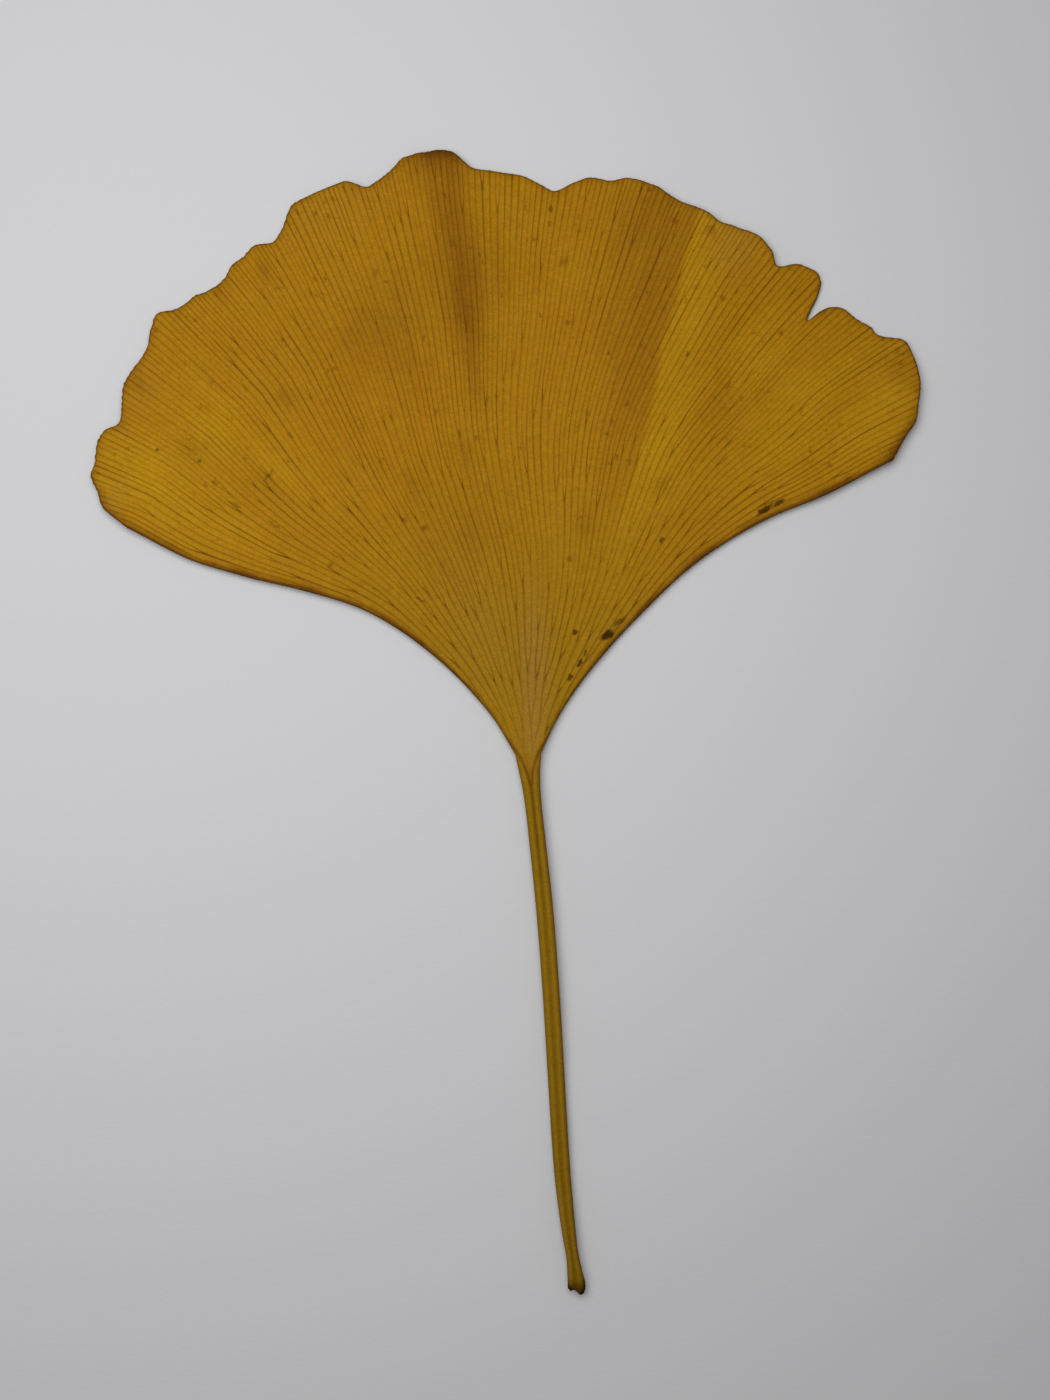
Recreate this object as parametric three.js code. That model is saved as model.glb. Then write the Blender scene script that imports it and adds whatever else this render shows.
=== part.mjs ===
// A fallen ginkgo leaf lying face up: a fan blade with forking ribs and a notched outer edge,
// grown in one piece with its grooved stalk. Millimetres, +Z up, the fan towards +Y.
//
// The blade's foot is the pole of every polar value here. An angle is in degrees from +Y, turning
// towards +X, and a radius is the distance from the foot. "Across" runs from -1 at the leaf's left
// margin to 1 at its right one, and every rib follows a line of constant across value.

import * as THREE from "three";

// Blade
const BLADE_THICKNESS = 0.6;
const RIB_HEIGHT = 0.12;
const RIB_PITCH = 1.0;
const RIB_START_RADIUS = 3;
const RIB_FULL_RADIUS = 10;
const RIB_CROWDING_AT_FOOT = -0.3;
const RIB_CROWDING_AT_EDGE = 0.22;
const RIB_CROWDING_FROM = 8;
const RIB_CROWDING_TO = 42;
const FORK_WIDTH_LEAST = 1.3;
const FORK_WIDTH_RANGE = 0.5;
const FORK_SEED = 7;

// Margins from the foot out to the two corners: [radius, angle]
const LEFT_MARGIN = [
  [3, -29.1], [6, -29.6], [10, -32.8], [16, -37.8], [23, -43.6],
  [29, -49.7], [35, -54.5], [41, -57.1], [47, -57.8],
];
const RIGHT_MARGIN = [
  [3, 21.5], [6, 23.0], [10, 26.4], [14, 29.7], [20, 33.6],
  [26, 36.6], [35, 42.1], [41, 46.0], [48, 48.5],
];

// Ribs past a corner's radius keep flaring, in degrees a millimetre
const LEFT_FLARE = 0.3;
const RIGHT_FLARE = 0.4;

// Outer edge from the left corner to the right one: [angle, radius]
const OUTER_EDGE = [
  [-57.8, 47.0], [-57.4, 50.0], [-56.2, 51.4], [-54.9, 53.2], [-53.0, 54.0], [-50.5, 54.7],
  [-49.0, 54.1], [-47.5, 54.9], [-45.5, 56.4], [-42.6, 57.2], [-41.4, 57.6], [-40.0, 58.9],
  [-38.6, 59.7], [-36.2, 58.9], [-33.0, 58.8], [-31.2, 59.0], [-28.8, 60.1], [-27.2, 60.5],
  [-25.5, 60.0], [-24.5, 60.6], [-22.3, 62.7], [-17.3, 63.1], [-15.3, 61.9], [-13.5, 62.5],
  [-11.2, 64.0], [-8.8, 64.2], [-7.2, 63.9], [-5.2, 61.9], [-3.0, 61.4], [-0.8, 61.0],
  [1.0, 60.1], [2.3, 59.5], [4.2, 60.5], [5.9, 61.2], [7.3, 61.0], [9.4, 61.6],
  [11.9, 61.2], [14.5, 60.2], [17.3, 59.8], [19.1, 59.2], [22.3, 59.3], [24.4, 58.5],
  [25.6, 57.3], [27.5, 58.4], [29.1, 58.6], [30.2, 57.9], [30.7, 56.2], [31.0, 53.8],
  [31.6, 55.2], [32.3, 56.2], [33.7, 56.8], [35.3, 56.6], [36.9, 56.8], [37.6, 56.6],
  [40.4, 57.7], [42.0, 57.1], [44.0, 55.8], [45.8, 53.8], [47.0, 52.3], [47.5, 50.4],
  [48.5, 48.0],
];
const EDGE_NOTCHES = [-49.0, -25.5, -15.3, 2.3, 25.6, 31.0, 37.6];
const LOBES_SMOOTHED_BY = 4;
const EDGE_SEARCH_FROM = 40;
const EDGE_SEARCH_STEP = 0.4;
const EDGE_HALVINGS = 12;

// Rows of the blade, as shares of the way from the foot to the outer edge
const BLADE_ROWS = [
  0, 0.03, 0.065, 0.105, 0.15, 0.205, 0.265, 0.33, 0.4, 0.475,
  0.555, 0.635, 0.715, 0.795, 0.87, 0.94, 1,
];
const LOBES_START_AT = 0.8;

// Stalk, from the torn end up to the foot: [x, y] of its middle, then its widths as [y, width]
const STALK_MIDDLE = [
  [4.42, -48], [4.2, -46.4], [3.68, -43], [3.04, -37], [2.54, -29], [2.06, -21],
  [1.46, -13], [0.62, -5], [-0.06, 1],
];
const STALK_WIDTHS = [
  [-48, 1.5], [-47, 1.28], [-45, 1.14], [-43, 1.34], [-39, 1.52], [-34, 1.6],
  [-13, 1.66], [-3, 1.6], [-1, 1.7], [1, 2.05],
];
const STALK_ROWS = 24;
const STALK_THICKNESS = 1.1;
const STALK_KEEL = 0.45;
const STALK_CROWN = 0.25;
const STALK_GROOVE = 0.16;
const STALK_GROOVE_WIDTH = 0.3;
const STALK_FADES_FROM = -3;
const STALK_FADES_TO = 12;
const STALK_RIBS = 4;
// How far the torn end sticks out at each column from left to right
const TORN_END = [0.15, 0.2, 0.32, 0.4, 0.6, 0.8, 0.95, 0.4, -0.3];

// How the leaf lies: mean clearance, waves across the fan, and the low spots that it rests on
const LYING_CLEARANCE = 0.32;
const WAVE_HEIGHT = 0.32;
const WAVE_REPEAT = 31;
const WAVE_CREST = 19;
const CORNER_LIFT = 0.5;
const CORNER_ANGLE = 55;
const TYPICAL_RADIUS = 60;
const LOW_SPOTS = [
  { x: -28.5, y: 42, depth: 1.4, size: 6 },
  { x: 27, y: 41, depth: 1.6, size: 6 },
  { x: -3, y: 34.5, depth: 0.8, size: 7 },
  { x: 2.8, y: -34, depth: 0.7, size: 6 },
];

const DEGREE = Math.PI / 180;

function clamp01(value) {
  return Math.min(1, Math.max(0, value));
}

function smoothStep(from, to, value) {
  const share = clamp01((value - from) / (to - from));
  return share * share * (3 - 2 * share);
}

function mix(from, to, share) {
  return from + (to - from) * share;
}

// Seeded numbers from 0 to 1, so that the forks fall alike in every build
function seededNumbers(seed) {
  let state = seed;
  return () => {
    state = (state * 1664525 + 1013904223) % 4294967296;
    return state / 4294967296;
  };
}

// Smooth curve through [x, y] points that never swings past them
function curveThrough(points) {
  const steps = points.slice(1).map((point, i) => {
    return (point[1] - points[i][1]) / (point[0] - points[i][0]);
  });
  const slopes = points.map((point, i) => {
    if (i === 0) return steps[0];
    if (i === points.length - 1) return steps[i - 1];
    const product = steps[i - 1] * steps[i];
    return product <= 0 ? 0 : (2 * product) / (steps[i - 1] + steps[i]);
  });
  return (x) => {
    const last = points.length - 2;
    let i = 0;
    while (i < last && x > points[i + 1][0]) i += 1;
    const width = points[i + 1][0] - points[i][0];
    const t = clamp01((x - points[i][0]) / width);
    const startShare = (1 + 2 * t) * (1 - t) * (1 - t);
    const start = startShare * points[i][1] + t * (1 - t) * (1 - t) * width * slopes[i];
    const end = (1 - startShare) * points[i + 1][1] - t * t * (1 - t) * width * slopes[i + 1];
    return start + end;
  };
}

const leftMargin = curveThrough(LEFT_MARGIN);
const rightMargin = curveThrough(RIGHT_MARGIN);
const outerEdge = curveThrough(OUTER_EDGE);
const stalkWidth = curveThrough(STALK_WIDTHS);
const stalkMiddle = new THREE.CatmullRomCurve3(
  STALK_MIDDLE.map(([x, y]) => new THREE.Vector3(x, y, 0)),
);

function pastCorner(radius, margin) {
  return Math.max(0, radius - margin[margin.length - 1][0]);
}

// Ribs crowd along the margins near the foot and draw together in the middle further out
function ribAngle(across, radius) {
  const outward = smoothStep(RIB_CROWDING_FROM, RIB_CROWDING_TO, radius);
  const crowding = mix(RIB_CROWDING_AT_FOOT, RIB_CROWDING_AT_EDGE, outward);
  const share = across * (1 - crowding * (1 - across * across));
  const left = leftMargin(radius) - LEFT_FLARE * pastCorner(radius, LEFT_MARGIN);
  const right = rightMargin(radius) + RIGHT_FLARE * pastCorner(radius, RIGHT_MARGIN);
  return mix(left, right, (share + 1) / 2);
}

// The outer edge without its lobes, as a mean over a few degrees to each side
function smoothedEdge(angle) {
  const steps = [-2, -1, 0, 1, 2];
  const sum = steps.reduce((total, step) => total + outerEdge(angle + step * LOBES_SMOOTHED_BY), 0);
  return sum / steps.length;
}

// Where a rib first meets an edge, found by steps outwards and then by halving the last step
function foundRadius(across, edge) {
  const isInside = (radius) => radius < edge(ribAngle(across, radius));
  let outside = EDGE_SEARCH_FROM;
  while (isInside(outside)) outside += EDGE_SEARCH_STEP;
  let inside = outside - EDGE_SEARCH_STEP;
  for (let i = 0; i < EDGE_HALVINGS; i += 1) {
    const middle = (inside + outside) / 2;
    if (isInside(middle)) inside = middle;
    else outside = middle;
  }
  return outside;
}

// How much of the stalk's build is left at a place: 1 down the stalk, 0 out in the blade
function stalkShare(along) {
  return 1 - smoothStep(STALK_FADES_FROM, STALK_FADES_TO, along);
}

// Height of the underside over the surface that the leaf lies on
function lyingHeight(x, y) {
  const outward = y > 0 ? Math.hypot(x, y) / TYPICAL_RADIUS : 0;
  const angle = Math.atan2(x, Math.max(y, 1)) / DEGREE;
  const turns = (angle - WAVE_CREST) / WAVE_REPEAT;
  const wave = WAVE_HEIGHT * outward ** 2 * Math.cos(2 * Math.PI * turns);
  const corner = CORNER_LIFT * outward ** 2 * (angle / CORNER_ANGLE) ** 4;
  const dips = LOW_SPOTS.reduce((sum, spot) => {
    const distance = Math.hypot(x - spot.x, y - spot.y) / spot.size;
    return sum + spot.depth * Math.exp(-distance * distance);
  }, 0);
  return LYING_CLEARANCE + wave + corner - dips;
}

// Top and underside of the leaf at one place
function column(x, y, along, across, isRib) {
  const stalk = stalkShare(along);
  const lying = Math.max(0, lyingHeight(x, y));
  const rib = isRib ? RIB_HEIGHT * smoothStep(RIB_START_RADIUS, RIB_FULL_RADIUS, along) : 0;
  const groove = STALK_GROOVE * Math.exp(-((across / STALK_GROOVE_WIDTH) ** 2));
  const extra = STALK_THICKNESS - BLADE_THICKNESS - STALK_CROWN * across ** 2 - groove;
  const keel = STALK_KEEL * (1 - Math.sqrt(1 - across ** 2));
  return {
    x,
    y,
    top: lying + BLADE_THICKNESS + stalk * extra + rib,
    bottom: Math.max(0, lying + stalk * keel - rib),
  };
}

// Across values of a row's columns: a valley, a rib, a valley and so on
function columnsAcross(ribs) {
  const values = ribs.flatMap((rib) => [rib.from, (rib.from + rib.to) / 2]);
  return [...values, ribs[ribs.length - 1].to];
}

function stalkRow(share, ribs, isEnd) {
  const middle = stalkMiddle.getPoint(share);
  const heading = stalkMiddle.getTangent(share);
  const half = stalkWidth(middle.y) / 2;
  return columnsAcross(ribs).map((across, i) => {
    const side = half * Math.sin((across * Math.PI) / 2);
    const torn = isEnd ? TORN_END[i] : 0;
    const x = middle.x + side * heading.y - torn * heading.x;
    const y = middle.y - side * heading.x - torn * heading.y;
    return column(x, y, y, side / half, false);
  });
}

function bladeRow(share, ribs) {
  const lobes = smoothStep(LOBES_START_AT, 1, share);
  const places = columnsAcross(ribs).map((across) => {
    const reach = mix(foundRadius(across, smoothedEdge), foundRadius(across, outerEdge), lobes);
    const radius = mix(RIB_START_RADIUS, reach, share);
    return { across, radius, angle: ribAngle(across, radius) };
  });
  if (share === 1) snapToNotches(places);
  return places.map(({ across, radius, angle }, i) => {
    const x = radius * Math.sin(angle * DEGREE);
    const y = radius * Math.cos(angle * DEGREE);
    return column(x, y, radius, across, i % 2 === 1);
  });
}

// The column nearest to each notch of the outer edge moves to its very bottom
function snapToNotches(places) {
  for (const notch of EDGE_NOTCHES) {
    const gaps = places.map((place) => Math.abs(place.angle - notch));
    const nearest = places[gaps.indexOf(Math.min(...gaps))];
    nearest.angle = notch;
    nearest.radius = outerEdge(notch);
  }
}

// Which ribs fork on the way to the next row, each once it has grown wide enough
function forksBefore(share, ribs, random) {
  return ribs.map((rib) => {
    const middle = (rib.from + rib.to) / 2;
    const radius = mix(RIB_START_RADIUS, foundRadius(middle, smoothedEdge), share);
    const width = (ribAngle(rib.to, radius) - ribAngle(rib.from, radius)) * DEGREE * radius;
    return width > RIB_PITCH * (FORK_WIDTH_LEAST + FORK_WIDTH_RANGE * random());
  });
}

function forkedRibs(ribs, forks) {
  return ribs.flatMap((rib, i) => {
    const middle = (rib.from + rib.to) / 2;
    return forks[i] ? [{ from: rib.from, to: middle }, { from: middle, to: rib.to }] : [rib];
  });
}

// Collects the leaf's points and triangles, with the top and the underside split alike
class LeafMesh {
  constructor() {
    this.points = [];
    this.triangles = [];
  }

  addRow(columns) {
    return columns.map(({ x, y, top, bottom }) => {
      this.points.push(x, y, top, x, y, bottom);
      const first = this.points.length / 3 - 2;
      return { top: first, bottom: first + 1 };
    });
  }

  addFaces(a, b, c) {
    this.triangles.push(a.top, b.top, c.top, c.bottom, b.bottom, a.bottom);
  }

  // Wall below the edge that runs from a to b, with the leaf on its left
  addWall(a, b) {
    this.triangles.push(a.top, a.bottom, b.bottom, a.top, b.bottom, b.top);
  }

  joinRows(lower, upper, forks) {
    let at = 0;
    forks.forEach((forked, i) => {
      const [left, rib, right] = lower.slice(2 * i, 2 * i + 3);
      if (forked) {
        const [upLeft, ribA, valley, ribB, upRight] = upper.slice(at, at + 5);
        this.addFaces(left, rib, ribA);
        this.addFaces(left, ribA, upLeft);
        this.addFaces(rib, valley, ribA);
        this.addFaces(rib, ribB, valley);
        this.addFaces(rib, right, ribB);
        this.addFaces(right, upRight, ribB);
        at += 4;
      } else {
        const [upLeft, upRib, upRight] = upper.slice(at, at + 3);
        this.addFaces(left, rib, upRib);
        this.addFaces(left, upRib, upLeft);
        this.addFaces(rib, right, upRib);
        this.addFaces(right, upRight, upRib);
        at += 2;
      }
    });
    this.addWall(upper[0], lower[0]);
    this.addWall(lower[lower.length - 1], upper[upper.length - 1]);
  }

  closeRow(row, isEnd) {
    for (let i = 1; i < row.length; i += 1) {
      if (isEnd) this.addWall(row[i], row[i - 1]);
      else this.addWall(row[i - 1], row[i]);
    }
  }

  geometry() {
    const geometry = new THREE.BufferGeometry();
    geometry.setAttribute("position", new THREE.Float32BufferAttribute(this.points, 3));
    geometry.setIndex(this.triangles);
    return geometry;
  }
}

function leafGeometry() {
  const random = seededNumbers(FORK_SEED);
  const mesh = new LeafMesh();
  let ribs = Array.from({ length: STALK_RIBS }, (_, i) => {
    return { from: (2 * i) / STALK_RIBS - 1, to: (2 * (i + 1)) / STALK_RIBS - 1 };
  });
  const unforked = ribs.map(() => false);
  let below = mesh.addRow(stalkRow(0, ribs, true));
  mesh.closeRow(below, false);
  for (let i = 1; i <= STALK_ROWS; i += 1) {
    const row = mesh.addRow(stalkRow(i / STALK_ROWS, ribs, false));
    mesh.joinRows(below, row, unforked);
    below = row;
  }
  BLADE_ROWS.forEach((share, i) => {
    const forks = i === 0 ? unforked : forksBefore(share, ribs, random);
    ribs = forkedRibs(ribs, forks);
    const row = mesh.addRow(bladeRow(share, ribs));
    mesh.joinRows(below, row, forks);
    below = row;
  });
  mesh.closeRow(below, true);
  return mesh.geometry();
}

// The leaf's origin is the middle of its box, at the surface that it lies on
function standOnOrigin(geometry) {
  geometry.computeBoundingBox();
  const middle = geometry.boundingBox.getCenter(new THREE.Vector3());
  geometry.translate(-middle.x, -middle.y, 0);
  return geometry;
}

const amberTissue = new THREE.MeshStandardMaterial({
  name: "leaf_tissue",
  color: new THREE.Color("#a8740f"),
  roughness: 0.6,
  metalness: 0,
});

const leaf = new THREE.Mesh(standOnOrigin(leafGeometry()), amberTissue);
leaf.name = "leaf";

const ginkgoLeaf = new THREE.Group();
ginkgoLeaf.add(leaf);

export default ginkgoLeaf;
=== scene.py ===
import math
from types import SimpleNamespace

import bpy
import numpy as np
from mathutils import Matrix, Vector, kdtree


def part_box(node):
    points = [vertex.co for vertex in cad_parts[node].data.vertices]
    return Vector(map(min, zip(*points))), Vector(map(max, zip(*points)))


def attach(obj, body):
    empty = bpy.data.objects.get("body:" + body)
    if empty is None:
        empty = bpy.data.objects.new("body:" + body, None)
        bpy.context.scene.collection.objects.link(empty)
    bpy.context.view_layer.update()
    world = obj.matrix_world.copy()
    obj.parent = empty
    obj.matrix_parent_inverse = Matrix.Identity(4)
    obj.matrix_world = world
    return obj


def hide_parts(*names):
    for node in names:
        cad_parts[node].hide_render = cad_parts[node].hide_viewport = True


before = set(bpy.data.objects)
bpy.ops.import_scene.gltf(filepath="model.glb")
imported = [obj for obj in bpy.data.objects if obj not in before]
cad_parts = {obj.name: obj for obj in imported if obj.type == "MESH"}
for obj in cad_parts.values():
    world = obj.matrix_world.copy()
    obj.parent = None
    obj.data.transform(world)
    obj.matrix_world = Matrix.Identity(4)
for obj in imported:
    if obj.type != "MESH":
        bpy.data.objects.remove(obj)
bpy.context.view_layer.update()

# Ginkgo leaf: finished blade with its stalk, its forking veins, and the stage that it lies on.
# The blade's foot is the pole of every polar value. An angle is in degrees from +Y towards +X, a
# radius is the distance from the foot, and both follow millimetres until a mesh is made.
# "Across" runs from -1 at the left margin to 1 at the right one, and a vein follows one across value.

bl_info = {
    "name": "Ginkgo Leaf",
    "version": (1, 0, 0),
    "blender": (4, 5, 0),
    "location": "3D View > Sidebar > Ginkgo Leaf",
    "description": "Grows a ginkgo leaf with forking veins, grooved stalk and autumn colours",
    "category": "Add Mesh",
}

MM = 0.001

# Margins from the foot out to the two corners: (radius, angle)
LEFT_MARGIN = (
    (3, -29.1), (6, -29.6), (10, -32.8), (16, -37.8), (23, -43.6),
    (29, -49.7), (35, -54.5), (41, -57.1), (47, -57.8),
)
RIGHT_MARGIN = (
    (3, 21.5), (6, 23), (10, 26.4), (14, 29.7), (20, 33.6),
    (26, 36.6), (35, 42.1), (41, 46), (48, 48.5),
)
# Veins past a corner's radius keep flaring, in degrees a millimetre
LEFT_FLARE = 0.3
RIGHT_FLARE = 0.4

# Outer edge from the left corner to the right one: (angle, radius)
OUTER_EDGE = (
    (-57.8, 47), (-57.4, 50), (-56.2, 51.4), (-54.9, 53.2), (-54, 53.4), (-53, 54),
    (-50.5, 54.7), (-49, 54.1), (-47.5, 54.9), (-45.5, 56.4), (-44.2, 56.8), (-42.6, 57.2),
    (-41.4, 57.6), (-40, 58.9), (-38.6, 59.7), (-36.2, 58.9), (-34.5, 59), (-33, 58.8),
    (-31.2, 59), (-30, 59.8), (-28.8, 60.1), (-27.2, 60.5), (-25.5, 60), (-24.5, 60.6),
    (-22.3, 62.7), (-20.5, 62.9), (-17.3, 63.1), (-15.3, 61.9), (-13.5, 62.5), (-11.2, 64),
    (-8.8, 64.2), (-7.2, 63.9), (-5.2, 61.9), (-3, 61.4), (-0.8, 61), (1, 60.1),
    (2.3, 59.5), (4.2, 60.5), (5.9, 61.2), (7.3, 61), (9.4, 61.6), (11.9, 61.2),
    (14.5, 60.2), (17.3, 59.8), (19.1, 59.2), (22.3, 59.3), (24.4, 58.5), (25.6, 57.3),
    (27.5, 58.4), (29.1, 58.6), (30.2, 57.9), (30.7, 56.2), (30.8, 54.8), (31, 53.8),
    (31.6, 55.2), (32.3, 56.2), (33.7, 56.8), (35.3, 56.6), (36.9, 56.8), (37.6, 56.6),
    (40.4, 57.7), (42, 57.1), (44, 55.8), (45.8, 53.8), (47, 52.3), (47.5, 50.4),
    (48.5, 48),
)
LOBES_SMOOTHED_BY = 4
LOBES_START_AT = 0.8
# The edge is looked for from a radius to a radius in steps, and the last step is halved this often
EDGE_SEARCH = (40, 68, 0.2)
EDGE_HALVINGS = 12
REACH_SAMPLES = 4001

# How the veins crowd at the foot and at the edge, the radii between which that changes, the widths in
# vein pitches at which a stretch forks, and how a fork opens
FOOT_RADIUS = 3
CROWDING = (-0.3, 0.22)
CROWDING_CHANGES = (8, 42)
FORK_WIDTHS = (1.3, 1.8)
FORK_UNEVENNESS = 0.07
FORK_OPENS_OVER = 2.6
STARTING_VEINS = 4
STARTING_RADIUS = -9.0
WANDER = 0.11
WANDER_GROWS = (4, 12)
WANDER_ENDS = (0.9, 1)
WANDER_REPEAT = 13
WANDER_SEEDS = (3, 5)
# Heights of a stretch's columns from valley to vein, and the distances from the rim of the last rows
VEIN_PROFILE = (0.0, 0.22, 1.0, 0.22)
COLUMNS = len(VEIN_PROFILE)
RIM_ROWS = (0.75, 0.42, 0.2, 0.08)
OUTLINE_PARTS = 8
# Veins end in fine teeth, deeper to the left, that start this share of the way out
TOOTH_HEIGHT = 0.09
TOOTH_PROFILE = (0.4, 0.8, 1, 0.8)
TOOTH_BLUR = (0.6, 1, 0.6)
TEETH_START_AT = 0.988
TEETH_TURN_SHALLOW = (-0.3, 0.1)
SHALLOW_TEETH = 0.55
# Radii between which the blade's veins and relief come in, and the relief's own size
BLADE_GROWS = (3, 10)
RELIEF_REPEAT = 6
RELIEF_SEED = 11
RIPPLE_WAVES = 6
RIPPLE_LENGTHS = (0.7, 1.5)

# Veins are widest at the foot, thin out towards the edge and sink into the tissue at both ends
VEIN = SimpleNamespace(
    foot_width=1.5, narrows=(4, 16), thins=(30, 60), thins_by=0.12, ends=(0.02, 0.9), end_width=0.3,
    end_height=-0.5, rises=(3.2, 9), sinks_by=0.08, least_stretch=0.2,
)

# Stalk, from the torn end up to the foot: (x, y) of its middle, then its widths as (y, width)
STALK_MIDDLE = (
    (4.42, -48), (4.2, -46.4), (3.68, -43), (3.04, -37), (2.54, -29), (2.06, -21),
    (1.46, -13), (0.62, -5), (-0.06, 1),
)
STALK_WIDTHS = (
    (-48, 1.72), (-47, 1.5), (-45, 1.2), (-43, 1.34), (-39, 1.52), (-34, 1.6),
    (-13, 1.66), (-3, 1.6), (-1, 1.7), (1, 2.05),
)
STALK_ROWS = 60
STALK_THICKNESS = 1.1
STALK_GROOVE = 0.2
STALK_GROOVE_WIDTH = 0.22
STALK_FADES = (-3, 12)
# How far the torn end sticks out from left to right
TORN_END = (
    (-1, 0.05), (-0.75, 0.3), (-0.5, 0.45), (-0.25, 0.42), (0, 0.75), (0.2, 1.0),
    (0.4, 0.96), (0.6, 0.66), (0.8, 0.3), (1, -0.25),
)
TORN_FRAYING = 0.07

# How the leaf lies: mean clearance, waves across the fan, and the low spots that it rests on
LYING_CLEARANCE = 0.32
WAVE_HEIGHT = 0.32
WAVE_REPEAT = 31
WAVE_CREST = 19
CORNER_LIFT = 0.5
CORNER_ANGLE = 55
TYPICAL_RADIUS = 60
LOW_SPOTS = ((-28.5, 42, 1.4, 6), (27, 41, 1.6, 6), (-3, 34.5, 0.8, 7), (2.8, -34, 0.7, 6))

# A row of each table is a soft patch of colour: the x and y of its middle from the foot, its half length
# and half width, the lean of its long side from +Y towards +X in degrees, and how strong it is
BROWN_PATCHES = (
    (-9, 63.2, 3.4, 1.8, 82, 1), (-8.6, 60.6, 3, 2.4, -8, 0.3),
    (-7.8, 57, 4.5, 2, -8, 0.34), (-6.8, 50.5, 6.5, 1.9, -8, 0.6),
    (-6.1, 46.6, 3.2, 1.2, -8, 0.58), (-5.6, 41, 4.5, 1, -8, 0.3),
    (-4.2, 51.5, 3.2, 2.6, -20, 0.2), (-12, 48, 8, 4.4, 60, 0.26),
    (-16.5, 44.5, 3.5, 2.6, 50, 0.25), (-12.6, 42.5, 3, 2, -20, 0.15),
    (10.5, 55.5, 4.5, 3.6, 12, 0.2), (9.5, 47, 5, 2.6, 12, 0.16),
    (-26.6, 51.2, 1.5, 0.7, -27, 0.35), (-31, 48.8, 1.2, 0.6, -33, 0.3),
    (-39.1, 39.8, 1.4, 0.7, -44, 0.3), (36.4, 32.4, 1.4, 1, 48, 0.9),
    (-11.5, 29.5, 1.7, 0.9, -20, 0.2), (-5.8, 24.1, 2.2, 1.2, -14, 0.2),
    (-6.4, 32.8, 1.8, 1.2, -11, 0.25), (-5.9, 26.5, 5, 4.5, -12, 0.16),
    (5.4, 25.4, 1.8, 0.9, 12, 0.22), (-26.3, 29.5, 1.7, 1, -40, 0.22),
    (-24.5, 38.5, 1.4, 1, -32, 0.3), (-33.7, 32.8, 1.2, 0.9, -45, 0.3),
    (13.1, 29.5, 1, 0.8, 24, 0.35), (26.9, 49.1, 2.4, 1.4, 60, 0.16),
    (36.7, 41.2, 2.2, 1.2, 130, 0.3), (-8.9, 21.9, 4, 2, -40, 0.14),
    (18.1, 36.8, 3, 1.5, 26, 0.16),
)
ORANGE_PATCHES = (
    (-11.4, 39.4, 4.4, 3, -30, 0.8), (4.8, 43.6, 3.6, 3, 30, 0.6),
    (18.1, 37.2, 4, 1.8, 26, 0.5), (-17.5, 35.5, 5, 3, -30, 0.4),
    (9, 34, 6, 2.4, 15, 0.4),
)
GOLD_PATCHES = (
    (-39.3, 30.4, 6, 4.2, -60, 0.7), (-31.5, 25.6, 9, 2.8, -60, 0.6),
    (-31.5, 35.5, 5, 3.4, -42, 0.6), (-24, 30.5, 4.5, 2.6, -40, 0.35),
    (28, 38.3, 7.5, 2.2, 42, 0.6), (34.5, 36.5, 5.5, 4, 50, 0.5),
    (24, 44.5, 6, 3, 30, 0.4), (13, 32, 7, 2.8, 22, 0.7),
    (27, 33, 7, 4, 40, 0.4),
)
PALE_PATCHES = (
    (20.3, 53.6, 3.2, 2.4, 24, 0.4), (-41.3, 27.4, 2.6, 0.9, 22, 0.4),
    (-38.6, 38, 3.6, 1.6, 30, 0.14), (-20, 57, 5, 3, 60, 0.16),
    (0.4, 11, 7, 1.4, 0, 0.85), (0.2, 4.5, 4.5, 0.9, 0, 0.6),
    (-4.5, 15, 7, 3.5, -25, 0.25),
)

# The right half's browned sector ends sharply where a yellower one starts, a little off the veins' own
# line: the border's angle near the foot and near the edge, the radii between which it turns, the
# degrees past it in which either colour comes and goes, and the radii over which it comes in
BORDER_ANGLES = (19, 16.6)
BORDER_TURNS = (24, 54)
BORDER_WAVER = 0.3
BROWN_COMES = (-10, -2.5)
BROWN_GOES = (0.5, -0.5)
BROWN_RADII = (22, 50)
BROWNED = 0.34
YELLOW_COMES = (-0.6, 0.5)
YELLOW_GOES = (6, 2.2)
YELLOW_RADII = (16, 36)
YELLOWED = 0.6
# Browned strip inside both margins: the radii over which it comes in, its width, the across values of
# the margins, how uneven it is and how brown
MARGIN_RADII = (6, 12)
MARGIN_WIDTH = (1, 0.35)
MARGIN_ACROSS = (0.9, 0.97)
MARGIN_UNEVENNESS = 0.4
MARGIN_BROWN = 0.8
# Wavelengths and seeds of the border's and the strip's unevenness
BORDER_RIPPLES = (9, 21)
MARGIN_RIPPLES = (5, 31)

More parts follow.
